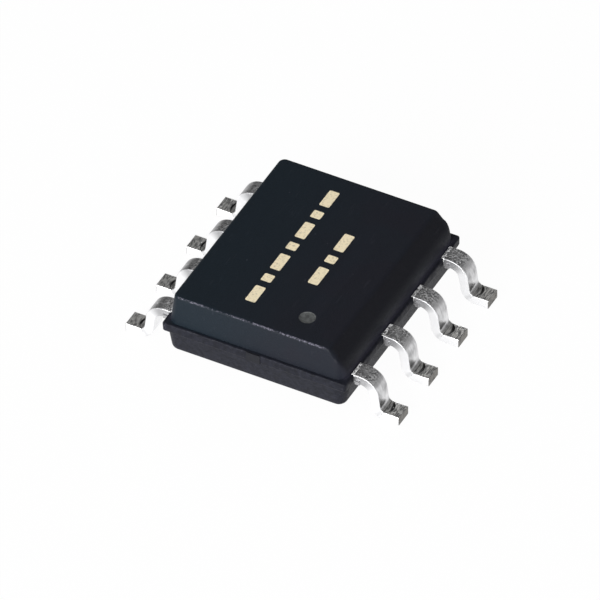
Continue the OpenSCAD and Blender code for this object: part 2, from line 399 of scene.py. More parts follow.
EFFECTS = {
    "Grain": (grain, {"Scale": 10.0, "Detail": 3.0, "Stretch": (1.0, 1.0, 1.0), "Low": 0.3, "High": 0.7}),
    "Specks": (specks, {"Scale": 10.0, "Radius": 0.3, "Share": 0.1}),
    "Edge wear": (edge_wear, {"Edge": 0.0, "Scale": 20.0, "Cover": 0.5}),
}


def effect(tree, name, **values):
    """Places a shared effect in a material, built when it is first asked for."""
    group = bpy.data.node_groups.get(name) or new_group(name, "ShaderNodeTree", *EFFECTS[name])
    inputs = {label.capitalize(): value for label, value in values.items()}
    return add_field(tree, "ShaderNodeGroup", inputs, node_tree=group)


# Materials

# Compound; the tint's two places lie across the body, in millimetres
TINT_FAR, TINT_NEAR = 1.6, -1.4
# Painted shade: the bevel's compound is darkened by this gain
BEVEL_SHADE_GAIN = 0.7
GRIT_PALE, SCUFF_PALE = 0.16, 0.03
WORN_ROUGH = 0.3
LOW_GLOSS = 0.12

# Tin plate
CALM_DULL, CALM_RANGE = 0.68, 0.12
BLOTCH_DULL = 0.8
FOOT_CALM = 0.75
STREAK_DULL, STREAK_PALE = 0.95, 0.22
# Gain of the pale burrs and the painted edge highlights
BURR_HIGHLIGHT_GAIN = 1.6
GLINT_COLOUR = (0.97, 0.97, 0.97)

# Pieces inside; the tarnish fades over a length in millimetres
TARNISH_FADE = 0.03
FLAKE_METAL = 0.8
ROW_SHARE, ROW_COLOUR = 0.4, (0.10, 0.16, 0.22)


def new_material(name):
    """A material with a Principled shader, and its tree."""
    material = bpy.data.materials.new(name)
    material.use_nodes = True
    return material, material.node_tree


def dress(material, inputs):
    """Feeds the inputs of a material's Principled shader."""
    tree = material.node_tree
    for name, value in inputs.items():
        feed(tree, tree.nodes["Principled BSDF"].inputs[name], value)
    return material


def relief(height, distance):
    """A normal bent by a height field; the distance is in metres."""
    return add_field(height.tree, "ShaderNodeBump", {"Height": height, "Distance": distance})


def compound_material(body):
    """Dark epoxy compound: cloudy colour, fine grain, specks, faint scuffs, painted shade on the bevel, a
    painted sheen at the foot of the long sides, a worn edge partly painted as a highlight, and the dot.
    """
    material, tree = new_material("mould_compound")
    lower = attribute(tree, "lower")
    dot = attribute(tree, "dot")
    cloud = effect(tree, "Grain", scale=1.1, detail=4.0, low=0.38, high=0.62)
    near = remap(parts(millimetres(tree))[1], TINT_FAR, TINT_NEAR) * fade(cloud, start=0.75, end=1.0)
    upper = mix(near, body.upper_colour, body.upper_tint)
    # Painted shade: the bevel face is coloured darker than the top
    upper = mix(attribute(tree, "bevel"), upper, toned(body.upper_tint, BEVEL_SHADE_GAIN))
    # Painted sheen: lighter colour at the foot of the long sides
    upper = mix(attribute(tree, "skirt_sheen"), upper, body.skirt_sheen_colour)
    uneven = effect(tree, "Grain", scale=10.0, detail=5.0)
    base = mix(lower, upper, two_tone(uneven, body.lower_colour, dark=0.72, light=1.3))
    grit = effect(tree, "Specks", scale=7.0, radius=0.16, share=0.05)
    scuffs = effect(tree, "Grain", scale=5.0, detail=2.0, stretch=(0.35, 4.5, 1.0), low=0.66, high=0.74)
    base = mix(largest(grit * GRIT_PALE, scuffs * SCUFF_PALE), base, body.wear_and_highlight_colour)
    fitful = effect(tree, "Grain", scale=3.0, detail=2.0)
    edge = attribute(tree, "edge") * fade(fitful, start=0.85, end=1.05)
    # Worn front top edge: partly real wear, partly a painted highlight
    wear_and_highlight = effect(tree, "Edge wear", edge=edge, scale=32.0, cover=0.59)
    base = mix(wear_and_highlight, base, body.wear_and_highlight_colour)
    mottle = effect(tree, "Grain", scale=14.0, detail=4.0)
    base = mix(dot, base, two_tone(mottle, body.dot_colour, dark=0.75, light=1.3))
    fine = effect(tree, "Grain", scale=38.0, detail=3.0)
    rough = fade(fine, start=0.44, end=0.56) + largest(wear_and_highlight, dot) * WORN_ROUGH
    return dress(material, {"Base Color": base, "Roughness": rough, "Specular IOR Level": LOW_GLOSS,
                            "Normal": relief(fine + uneven * lower, 2.0 * MICRON)})


def tin_material(leads):
    """Matte tin plate: grainy patches, painted shade on the bends and the far feet, pale burrs with painted
    edge highlights, painted highlights as glints and in the dent, a streaky foot, painted shade in the dent,
    a bare end.
    """
    material, tree = new_material("tin_plate")
    flat, bare, burr_and_highlight, foot, leg, strain, dent, dent_highlight = (attribute(tree, name) for name in LEAD_MARKS)
    crystals = effect(tree, "Grain", scale=27.0, detail=3.0, low=0.43, high=0.57)
    blotches = effect(tree, "Grain", scale=9.0, detail=3.0, low=0.5, high=0.66)
    patches = effect(tree, "Grain", scale=7.0, detail=2.0, low=0.34, high=0.54)
    streaks = effect(tree, "Grain", scale=14.0, detail=3.0, stretch=(0.6, 2.4, 1.0), low=0.4, high=0.6)
    drawn = effect(tree, "Grain", scale=9.0, detail=2.0, stretch=(1.6, 0.5, 0.5), low=0.3, high=0.7)
    calm = fade(crystals, start=CALM_DULL - CALM_RANGE, end=CALM_DULL + CALM_RANGE)
    mottle = add_field(tree, "ShaderNodeMix", {0: patches, 2: calm, 3: crystals})
    grainy = fade(largest(leg, foot * FOOT_CALM), start=1.0, end=0.1)
    mottle = largest(mottle, blotches * BLOTCH_DULL) * grainy
    # Painted shade on the bends and the far feet, broken up by a drawn grain
    shade_grain = strain * fade(drawn, start=0.45, end=0.8)
    # Dark grains together with the painted shade
    dull_and_shade = largest(mottle, streaks * foot * STREAK_DULL, shade_grain) * flat
    plate = mix(foot, leads.tin_colour, leads.foot_colour)
    plate = mix(flat, mix(largest(leg, foot), leads.cut_colour, leads.tin_colour), plate)
    plate = mix(dull_and_shade, plate, leads.dull_and_shade_colour)
    # Painted shade in the heel dent and on the far bend
    plate = mix(dent, plate, leads.dent_shade_colour)
    plate = mix(bare, plate, two_tone(patches, leads.bare_colour, dark=0.6, light=1.3))
    # Pale burr flecks at the root and a painted highlight along the top edges
    burrs_and_highlights = effect(tree, "Edge wear", edge=burr_and_highlight * BURR_HIGHLIGHT_GAIN, scale=13.0, cover=0.34)
    glints = effect(tree, "Specks", scale=15.0, radius=0.24, share=0.13) * flat * (1.0 - leg)
    pale = (1.0 - streaks) * foot * STREAK_PALE * flat * (1.0 - dent)
    white = largest(burrs_and_highlights, glints, dent_highlight, pale)
    return dress(material, {"Base Color": mix(white, plate, GLINT_COLOUR),
                            "Roughness": fade(flat, start=0.45, end=0.3),
                            "Metallic": fade(white, start=1.0, end=0.15),
                            "Normal": relief(crystals * fade(leg, start=1.0, end=0.2), 1.2 * MICRON)})


def grained_material(name, tint, dark, light, rough, smooth, height, metallic, **pattern):
    """A finish with one grain: dark and rough where it is low, light and smooth where it is high."""
    material, tree = new_material(name)
    grains = effect(tree, "Grain", **pattern)
    return dress(material, {"Base Color": two_tone(grains, tint, dark, light), "Metallic": metallic,
                            "Roughness": fade(grains, rough, smooth), "Normal": relief(grains, height)})


def ink_material(marks):
    """Cream marking ink, thin in places."""
    return grained_material("marking_ink", marks.ink_colour, dark=0.72, light=1.05, rough=0.75, smooth=0.55,
                            height=0.6 * MICRON, metallic=0.0, scale=20.0, detail=4.0, low=0.25, high=0.55)


def gold_material(inside):
    """Drawn gold wire with fine drawing marks."""
    return grained_material("gold_wire", inside.gold_colour, dark=0.85, light=1.1, rough=0.32, smooth=0.2,
                            height=0.5 * MICRON, metallic=1.0, scale=60.0, detail=3.0,
                            stretch=(1.0, 0.3, 1.0))


def frame_material(inside):
    """Dull copper alloy with rolling lines, tarnished where the tie bars reach the air."""
    material, tree = new_material("frame_copper")
    lines = effect(tree, "Grain", scale=9.0, detail=4.0, stretch=(0.2, 6.0, 1.0))
    metal = two_tone(lines, inside.copper_colour, dark=0.8, light=1.1)
    reach = inside.tie_reach / MM
    tarnish = remap(abs(parts(millimetres(tree))[0]), reach - TARNISH_FADE, reach)
    return dress(material, {"Base Color": mix(tarnish, metal, inside.tarnish_colour),
                            "Metallic": 1.0 - tarnish, "Roughness": fade(lines, start=0.5, end=0.4),
                            "Specular IOR Level": LOW_GLOSS, "Normal": relief(lines, 2.0 * MICRON)})


def epoxy_material(inside):
    """Silver-filled epoxy: pale paste full of bright flakes."""
    material, tree = new_material("silver_epoxy")
    paste = effect(tree, "Grain", scale=12.0, detail=4.0)
    flakes = effect(tree, "Specks", scale=40.0, radius=0.45, share=0.4)
    return dress(material, {"Base Color": two_tone(paste, inside.epoxy_colour, dark=0.75, light=1.05),
                            "Metallic": flakes * FLAKE_METAL, "Roughness": fade(flakes, start=0.6, end=0.3),
                            "Normal": relief(flakes, 1.5 * MICRON)})


def silicon_material(inside):
    """Polished silicon: blocks of memory cells with streets between them, under fine rows."""
    material, tree = new_material("silicon")
    tint = inside.silicon_colour
    pattern = {"Vector": millimetres(tree), "Scale": 1.0, "Mortar Size": 0.02, "Brick Width": 0.5,
               "Row Height": 0.3, "Color1": toned(tint, gain=0.85), "Color2": toned(tint, gain=1.15),
               "Mortar": toned(tint, gain=1.8)}
    blocks = add_fields(tree, "ShaderNodeTexBrick", pattern, offset=0.0)
    rows = effect(tree, "Grain", scale=14.0, detail=2.0, stretch=(0.1, 8.0, 1.0))
    return dress(material, {"Base Color": mix(rows * ROW_SHARE, blocks["Color"], ROW_COLOUR),
                            "Metallic": 0.6, "Roughness": fade(rows, start=0.16, end=0.26),
                            "Normal": relief(blocks["Fac"], 1.0 * MICRON)})


# Mesh helpers

CLEAR_SHARE = 0.4
QUAD_CORNERS = 4


def add_object(name, data):
    """Puts a mesh, a lamp or a camera in the scene as an object at the origin."""
    item = bpy.data.objects.new(name, data)
    bpy.context.scene.collection.objects.link(item)
    return item


def place_mesh(mesh, name, material, smooth_angle):
    """Shades a mesh smooth up to an angle and puts it in the scene as an object at the origin."""
    mesh.polygons.foreach_set("use_smooth", [True] * len(mesh.polygons))
    mesh.set_sharp_from_angle(angle=smooth_angle)
    mesh.materials.clear()
    mesh.materials.append(material)
    return add_object(name, mesh)


def finish_mesh(bm, name, material, smooth_angle):
    """Turns a closed bmesh outwards and makes an object of it."""
    bmesh.ops.recalc_face_normals(bm, faces=bm.faces)
    if any(not edge.is_manifold for edge in bm.edges):
        raise RuntimeError(f"{name}: the mesh isn't closed")
    mesh = bpy.data.meshes.new(name)
    bm.to_mesh(mesh)
    bm.free()
    return place_mesh(mesh, name, material, smooth_angle)


def mark_layers(bm, names):
    """Adds a float layer for each name and returns the layers by name."""
    for name in names:
        bm.verts.layers.float.new(name)
    return {name: bm.verts.layers.float[name] for name in names}


def add_ring(bm, points):
    """Adds the points of one closed ring."""
    return [bm.verts.new(point) for point in points]


def bridge(bm, first, second):
    """Joins two rings with as many points by a band of quads."""
    for here in range(len(first)):
        there = (here + 1) % len(first)
        bm.faces.new((first[here], first[there], second[there], second[here]))


def spread(limit, step, extras):
    """Evenly spaced places from -limit to limit, with the given places put in between."""
    spaces = round(2.0 * limit / step)
    even = [-limit + 2.0 * limit * index / spaces for index in range(spaces + 1)]
    clear = [place for place in even if all(abs(place - extra) > CLEAR_SHARE * step for extra in extras)]
    return sorted(clear + extras)


# Moulded body

# Steps round a corner, up a wall, round its rim and round an edge of the flange, and places on the sides
CORNER_STEPS, WALL_STEPS, RIM_STEPS, FLANGE_STEPS = 12, 10, 8, 4
SIDE_STEP, FRONT_STEP = 0.04 * MM, 0.02 * MM
STEP_SPLIT = 0.0005 * MM
CORNER_ROOM = 0.03 * MM

# Notches for the leads, tie bars, rim and top face
NOTCH_PLAY = 0.004 * MM
LEDGE_FILM = 1.0 * MICRON
TIE_HALF, TIE_PROUD = 0.15 * MM, 1.0 * MICRON
RIM_BLEND = 0.12 * MM
ROOF_INSET = 0.07 * MM

# Rough flange, worn edges partly painted as a highlight, and a painted sheen at the foot of the long sides
COARSE_CLUMPS, FINE_CLUMPS, UPRIGHT_STRETCH = 5.0 / MM, 21.0 / MM, 0.4
DENT_LEVEL, COARSE_SHARE, FINE_SHARE = 0.45, 0.45, 0.3
CHIP_CLUMPS, CHIP_LEVELS, CHIP_SEED = 14.0 / MM, 0.35, 3.7
CREASE_FADE = 0.06 * MM
END_FACING, SIDE_FACING = 6, 4
RIM_FADE, FLANGE_WEAR = 0.45, 0.8
SKIRT_SHEEN_STEPS = 3

# Pin-one dot: its section is pairs of a share of its radius and a share of its depth
DOT_SIDES = 64
DOT_ROOM = 0.08 * MM
DOT_SECTION = ((1.04, 0.0), (1.0, 0.12), (0.98, 0.6), (0.95, 0.92), (0.9, 1.0), (0.5, 1.0))

BODY_SMOOTH = math.radians(38.0)
BODY_MARKS = ("lower", "edge", "dot", "skirt_sheen", "bevel")
DIRECTIONS = ((1.0, 0.0), (0.0, 1.0), (-1.0, 0.0), (0.0, -1.0))


class Station:
    """A place on an outline: its outward direction, its corner, and its place along a straight side."""

    def __init__(self, out_x, out_y, corner_x, corner_y, along_x=None, along_y=None):
        self.out_x = out_x
        self.out_y = out_y
        self.corner_x = corner_x
        self.corner_y = corner_y
        self.along_x = along_x
        self.along_y = along_y

    def at(self, half_x, half_y, radius):
        """The station's point on a rounded rectangle."""
        x = self.corner_x * (half_x - radius) + self.out_x * radius
        y = self.corner_y * (half_y - radius) + self.out_y * radius
        return x if self.along_x is None else self.along_x, y if self.along_y is None else self.along_y


class Outline:
    """The stations around a rounded rectangle, counter-clockwise, with the ranges of its four sides."""

    def __init__(self, x_places, y_places, corner_steps):
        self.stations = []
        self.sides = []
        for quarter, (out_x, out_y) in enumerate(DIRECTIONS):
            # The back and the left side take their places in reverse
            if out_x:
                side = [Station(out_x, out_y, out_x, out_y, along_y=y) for y in y_places[::int(out_x)]]
            else:
                side = [Station(out_x, out_y, out_x, out_y, along_x=x) for x in x_places[::-int(out_y)]]
            start = len(self.stations)
            self.stations += side
            self.sides.append(range(start, start + len(side)))
            next_x, next_y = DIRECTIONS[(quarter + 1) % len(DIRECTIONS)]
            for step in range(corner_steps + 1):
                turn = QUARTER_TURN * (quarter + step / corner_steps)
                self.stations.append(Station(math.cos(turn), math.sin(turn), out_x + next_x, out_y + next_y))


def soft_min(first, second, width):
    """The smaller of two values, blended where they are within a width of each other."""
    part = clamp(0.5 + 0.5 * (second - first) / width)
    return second + (first - second) * part - width * part * (1.0 - part)


def wall_profile(height, draft, rim, fall):
    """Points (inset, rise) up a drafted wall and round its rim to a roof that falls outwards."""
    edge_rise = height / (1.0 - fall * math.tan(draft))
    edge_inset = edge_rise * math.tan(draft)
    roof_turn = QUARTER_TURN - math.atan(fall)
    reach = rim / (1.0 + math.cos(roof_turn - draft))
    centre_inset = edge_inset + reach * (math.cos(draft) + math.cos(roof_turn))
    centre_rise = edge_rise - reach * (math.sin(draft) + math.sin(roof_turn))
    arc = []
    for step in range(RIM_STEPS + 1):
        turn = draft + (roof_turn - draft) * step / RIM_STEPS
        arc.append((centre_inset - rim * math.cos(turn), centre_rise + rim * math.sin(turn)))
    wall = [(arc[0][0] * step / WALL_STEPS, arc[0][1] * step / WALL_STEPS) for step in range(WALL_STEPS)]
    return wall + arc


class BodyShape:
    """The body's main planes and half sizes, from the frame and the settings."""

    def __init__(self, body, leads):
        self.body = body
        self.half_x = BODY_HIGH.x
        self.half_y = BODY_HIGH.y
        self.top = BODY_HIGH.z - body.print_room
        self.bottom = BODY_LOW.z
        self.flange_top = LEAD_HIGH.z + LEDGE_FILM
        self.flange_low = LEAD_HIGH.z - leads.thickness
        self.upper_x = self.half_x - body.upper_setback
        self.upper_y = self.half_y - body.upper_setback
        self.notch_half = leads.width / 2.0 + NOTCH_PLAY
        self.notch_y = self.upper_y + body.root_cover
        self.pins = {side: pin_places(side) for side in (-1.0, 1.0)}
        side_run = (BODY_HIGH.z - self.flange_top) * math.tan(body.upper_draft)
        self.crease_y = -(self.upper_y - side_run - body.bevel_width)
        self.bevel_slope = body.bevel_drop / (body.bevel_width + body.bevel_drop * math.tan(body.upper_draft))
        self.dot_x = -(self.half_x - body.dot_from_end)
        self.dot_y = -(self.half_y - body.dot_from_side)

    def roof(self, y):
        """Height of the top face or the bevel at a distance across the body."""
        bevel = self.top - self.bevel_slope * (self.crease_y - y)
        return soft_min(self.top, bevel, self.body.bevel_blend)

    def is_notch(self, station):
        """Whether a station lies in the notch of a lead, on a long side."""
        if station.along_x is None:
            return False
        return any(abs(station.along_x - middle) < self.notch_half for middle in self.pins[station.out_y])

    def front_edge(self, station, y):
        """How much a rim point belongs to the worn top edge at the pin-one end, which is partly painted as a
        highlight.
        """
        return max(-station.out_x, 0.0) ** END_FACING * clamp((y - self.crease_y) / CREASE_FADE)


def pin_places(sign):
    """Middles of the leads on one long side."""
    middles = []
    for pin in PINS:
        low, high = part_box(f"lead_{pin}")
        if (low.y + high.y) * sign > 0.0:
            middles.append((low.x + high.x) / 2.0)
    return sorted(middles)


def split_edges(middles, half):
    """Places just before and just after the two edges of each stretch."""
    edges = [middle + side * half for middle in middles for side in (-1.0, 1.0)]
    return [edge + split for edge in edges for split in (-STEP_SPLIT, STEP_SPLIT)]


def body_outline(shape):
    """Stations close enough for the round corners, the notches and the worn front edge."""
    corner = shape.body.upper_corner + CORNER_ROOM
    notch_edges = split_edges(shape.pins[-1.0], shape.notch_half)
    tie_edges = split_edges([0.0], TIE_HALF)
    x_places = spread(shape.upper_x - corner, SIDE_STEP, notch_edges)
    y_places = spread(shape.upper_y - corner, FRONT_STEP, tie_edges)
    return Outline(x_places, y_places, CORNER_STEPS)


def lower_rings(shape, stations):
    """Rings from the underside up the lower half to the flange."""
    body = shape.body
    profile = wall_profile(shape.flange_low - shape.bottom, body.lower_draft, body.lower_rim, 0.0)
    rings = []
    for inset, rise in reversed(profile):
        half_x = shape.half_x - body.lower_setback - inset
        half_y = shape.half_y - body.lower_setback - inset
        spots = [station.at(half_x, half_y, body.lower_corner - inset) for station in stations]
        rings.append([((x, y, shape.flange_low - rise), {}) for x, y in spots])
    return rings


def parting_dent(body, x, y, z):
    """How far the flange's edge lies back at a point, as left by the mould."""
    coarse = noise.noise(Vector((x, y, z * UPRIGHT_STRETCH)) * COARSE_CLUMPS)
    fine = noise.noise(Vector((x, y, z)) * FINE_CLUMPS)
    return body.flash_rough * clamp(DENT_LEVEL + COARSE_SHARE * coarse + FINE_SHARE * fine)


def flange_rings(shape, stations):
    """Rings up the flange, uneven, notched for the leads and set back at the tie bars."""
    body = shape.body
    rim = body.flange_rim
    sections = []
    for middle, start in ((shape.flange_low + rim, -QUARTER_TURN), (shape.flange_top - rim, 0.0)):
        for step in range(FLANGE_STEPS + 1):
            turn = start + QUARTER_TURN * step / FLANGE_STEPS
            sections.append((rim * (1.0 - math.cos(turn)), middle + rim * math.sin(turn)))
    rings = []
    for inset, z in sections:
        points = []
        for station in stations:
            x, y = station.at(shape.half_x - inset, shape.half_y - inset, body.flange_corner)
            dent = parting_dent(body, x, y, z) * (1.0 - inset / rim)
            if station.along_y is not None and abs(station.along_y) < TIE_HALF:
                dent = max(dent, TIE_PROUD)
            x -= station.out_x * dent
            y -= station.out_y * dent
            if shape.is_notch(station):
                y = station.out_y * shape.notch_y
            at_corner = station.along_x is None and station.along_y is None
            # The worn flange corner takes the worn edge's colour, partly a painted highlight
            worn = at_corner and station.out_x < 0.0 < station.out_y
            points.append(((x, y, z), {"edge": FLANGE_WEAR if worn else 0.0}))
        rings.append(points)
    return rings


def upper_profile(shape, station):
    """Points (inset, rise) up the upper half and round its rim at a station."""
    body = shape.body
    y = station.at(shape.upper_x, shape.upper_y, body.upper_corner)[1]
    facing = max(-station.out_y, 0.0)
    fall = shape.bevel_slope * facing if y < shape.crease_y else 0.0
    rim = body.upper_rim + (body.bevel_rim - body.upper_rim) * clamp((shape.crease_y - y) / RIM_BLEND)
    rim += (body.bevel_foot - rim) * facing ** SIDE_FACING
    return wall_profile(shape.roof(y) - shape.flange_top, body.upper_draft, rim, fall)


def upper_rings(shape, stations):
    """Rings up the upper half to the top face, each point with the weights of its finishes, its painted shade
    and its painted sheen.
    """
    body = shape.body
    profiles = [upper_profile(shape, station) for station in stations]
    rings = []
    for level in range(WALL_STEPS + RIM_STEPS + 1):
        up_rim = clamp((level - WALL_STEPS) / RIM_STEPS)
        # Weight of the painted sheen, fading out up the wall
        skirt_sheen = 1.0 - clamp(level / (WALL_STEPS + SKIRT_SHEEN_STEPS))
        worn = math.sin(math.pi * up_rim)
        if level >= WALL_STEPS - 1:
            worn = RIM_FADE + (1.0 - RIM_FADE) * worn
        points = []
        for station, profile in zip(stations, profiles):
            inset, rise = profile[level]
            x, y = station.at(shape.upper_x - inset, shape.upper_y - inset, body.upper_corner - inset)
            edge = worn * shape.front_edge(station, y)
            clump = noise.noise(Vector((y * CHIP_CLUMPS, level * CHIP_LEVELS, CHIP_SEED)))
            chip = max(clump, 0.0) * edge * body.chip_depth
            # The skirt weight is a painted sheen at the foot of the long sides
            weights = {"edge": edge, "skirt_sheen": abs(station.out_y) ** SIDE_FACING * skirt_sheen,
                       # Painted shade on the bevel, growing up the rim
                       "bevel": max(-station.out_y, 0.0) ** SIDE_FACING * up_rim}
            points.append(((x + chip, y, shape.flange_top + rise - chip), weights))
        rings.append(points)
    roof = []
    for station, (rim, _) in zip(stations, rings[-1]):
        x = rim[0] - station.out_x * ROOF_INSET
        y = rim[1] - station.out_y * ROOF_INSET
        weights = {"edge": RIM_FADE * shape.front_edge(station, rim[1]),
                   # Painted shade on the bevel part of the top face
                   "bevel": clamp((shape.crease_y - y) / body.bevel_blend)}
        roof.append(((x, y, shape.roof(y)), weights))
    return rings + [roof]


def fill_rows(bm, outline, ring, hole_ring=(), hole_low=0.0, hole_high=0.0):
    """Closes a face by rows from one short side to the other, and by a fill round a hole if there is one."""
    right_side, left_side = outline.sides[::2]
    right = [ring[index] for index in right_side]
    left = [ring[index] for index in reversed(left_side)]
    bm.faces.new(ring[left_side[-1]:] + right[:1])
    bm.faces.new(ring[right_side[-1]:left_side[0] + 1])
    open_rows = []
    for row in range(len(right) - 1):
        if hole_ring and hole_low < right[row].co.y and right[row + 1].co.y < hole_high:
            open_rows.append(row)
        else:
            bm.faces.new((left[row], right[row], right[row + 1], left[row + 1]))
    if not hole_ring:
        return
    first = open_rows[0]
    last = open_rows[-1] + 1
    edges = []
    for rim in (left[first:last + 1] + right[last:first - 1:-1], hole_ring):
        for here, there in zip(rim, rim[1:] + rim[:1]):
            edges.append(bm.edges.get((here, there)) or bm.edges.new((here, there)))
    bmesh.ops.triangle_fill(bm, use_beauty=True, edges=edges)


def dot_rings(bm, shape):
    """Rings from the dot's soft edge down its wall and over its floor."""
    turns = [2.0 * math.pi * side / DOT_SIDES for side in range(DOT_SIDES)]
    rings = []
    for size, sunk in DOT_SECTION:
        radius = shape.body.dot_width / 2.0 * size
        z = shape.top - shape.body.dot_depth * sunk
        rings.append(add_ring(bm, [(shape.dot_x + radius * math.cos(turn),
                                    shape.dot_y + radius * math.sin(turn), z) for turn in turns]))
    return rings


def mould_body(settings):
    """The moulded body as one closed skin with its shading attributes."""
    shape = BodyShape(settings.body, settings.leads)
    outline = body_outline(shape)
    bm = bmesh.new()
    layers = mark_layers(bm, BODY_MARKS)
    below = lower_rings(shape, outline.stations) + flange_rings(shape, outline.stations)
    rings = []
    for points in below + upper_rings(shape, outline.stations):
        ring = add_ring(bm, [point for point, weights in points])
        for vert, (point, weights) in zip(ring, points):
            vert[layers["lower"]] = 1.0 if len(rings) < len(below) else 0.0
            for name, weight in weights.items():
                vert[layers[name]] = weight
        rings.append(ring)
    for first, second in zip(rings, rings[1:]):
        bridge(bm, first, second)
    dots = dot_rings(bm, shape)
    for first, second in zip(dots, dots[1:]):
        bridge(bm, first, second)
        for vert in second:
            vert[layers["dot"]] = 1.0
    bm.faces.new(dots[-1])
    room = shape.body.dot_width / 2.0 + DOT_ROOM
    fill_rows(bm, outline, rings[0])
    fill_rows(bm, outline, rings[-1], dots[0], shape.dot_y - room, shape.dot_y + room)
    bmesh.ops.triangulate(bm, faces=[face for face in bm.faces if len(face.verts) > QUAD_CORNERS])
    return bm


class CHIP_OT_mould_body(Operator):
    """Moulds the body: two drafted halves, a parting flange, the bevel and the pin-one dot"""
    bl_idname = "chip.mould_body"
    bl_label = "Mould the body"

    def execute(self, context):
        settings = context.scene.chip
        material = compound_material(settings.body)
        piece = finish_mesh(mould_body(settings), "moulded_body", material, BODY_SMOOTH)
        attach(piece, "root")
        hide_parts("mould_body")
        return {"FINISHED"}


# Leads

# Points of a bend and of a rounded edge, and cuts across a face of the strip
BEND_POINTS, EDGE_POINTS, FACE_CUTS = 40, 5, 15

# Heel dent: its wall and lip are shares of its reach, and the floor keeps its arc from closing at the edges
DENT_WALL, LIP_HALF, ARC_FLOOR = 0.36, 0.175, 0.01

# Share of the thickness past which a point lies on the upper face
UPPER_FACE = -0.45

RIPPLE_CLUMPS, RIPPLE_DETAIL = 7.0 / MM, 2.0
NOISE_MIDDLE = (0.5, 0.5, 0.5)
SEED_STEP = 3.7
LEAD_SMOOTH = math.radians(40.0)


def by_index(tree, kind, values):
    """A field that gives each point of a path its own value."""
    node = add_node(tree, "GeometryNodeIndexSwitch", data_type=kind)
    while len(node.index_switch_items) < len(values):
        node.index_switch_items.new()
    for socket, value in zip(node.inputs, [add_field(tree, "GeometryNodeInputIndex")] + values):
        feed(tree, socket, value)
    return Field(tree, node.outputs[0])


def rounded(curve, points, radius):
    """A curve with its corners rounded by arcs of so many points."""
    inputs = {"Curve": curve, "Count": points, "Radius": radius}
    return add_field(curve.tree, "GeometryNodeFilletCurve", inputs, mode="POLY")


def stored(geometry, name, kind, value):
    """Geometry that keeps a field as an attribute of its points."""
    inputs = {"Geometry": geometry, "Name": name, "Value": value}
    return add_field(geometry.tree, "GeometryNodeStoreNamedAttribute", inputs, data_type=kind, domain="POINT")


def recalled(tree, name, kind):
    """An attribute of the points, for a geometry tree."""
    return add_field(tree, "GeometryNodeInputNamedAttribute", {"Name": name}, data_type=kind)


def moved(geometry, offset):
    """Geometry with its points moved by an offset."""
    return add_field(geometry.tree, "GeometryNodeSetPosition", {"Geometry": geometry, "Offset": offset})


def swept_strip(tree, given):
    """The strip swept along its bent path, with its place along and across kept as attributes."""
    corners = [given[name] for name in ("Root", "Shoulder", "Heel", "Tip")]
    radii = [0.0, given["Shoulder radius"], given["Heel radius"], 0.0]
    chain = add_field(tree, "GeometryNodeMeshLine", {"Count": len(corners)})
    path = add_field(tree, "GeometryNodeMeshToCurve", {"Mesh": chain})
    path = add_field(tree, "GeometryNodeSetPosition",
                     {"Geometry": path, "Position": by_index(tree, "VECTOR", corners)})
    path = rounded(path, BEND_POINTS, by_index(tree, "FLOAT", radii))
    path = add_field(tree, "GeometryNodeResampleCurve", {"Curve": path, "Length": given["Ring step"]},
                     mode="LENGTH")
    path = stored(path, "along", "FLOAT", add_field(tree, "GeometryNodeSplineParameter", output="Length"))
    section = add_field(tree, "GeometryNodeCurvePrimitiveQuadrilateral",
                        {"Width": given["Width"], "Height": given["Thickness"]})
    section = rounded(section, EDGE_POINTS, given["Edge rounding"])
    number = add_field(tree, "GeometryNodeInputIndex")
    cuts = (number % (EDGE_POINTS + 1.0) > EDGE_POINTS - 0.5) * FACE_CUTS
    section = add_field(tree, "GeometryNodeSubdivideCurve", {"Curve": section, "Cuts": cuts})
    section = stored(section, "section", "FLOAT_VECTOR", add_field(tree, "GeometryNodeInputPosition"))
    return add_field(tree, "GeometryNodeCurveToMesh",
                     {"Curve": path, "Profile Curve": section, "Fill Caps": True})


def dent_rise(given, along, across):
    """Rise of a dent like a letter D in the foot's upper face, with its straight side at the heel."""
    edge_share = across[0] / (given["Width"] * 0.5)
    arc = compute("SQRT", largest(1.0 - abs(edge_share) ** 2.0, ARC_FLOOR))
    part = (along - given["Dent run"]) / (arc * given["Dent reach"])
    slope = remap(part, 0.0, 1.0 - DENT_WALL, way="LINEAR")
    wall = remap(part, 1.0, 1.0 - DENT_WALL)
    lip = remap(abs(part - (1.0 + LIP_HALF)), LIP_HALF, 0.0)
    rise = lip * given["Dent lip"] - slope * wall * given["Dent depth"]
    return rise * arc * (across[1] < given["Thickness"] * UPPER_FACE)


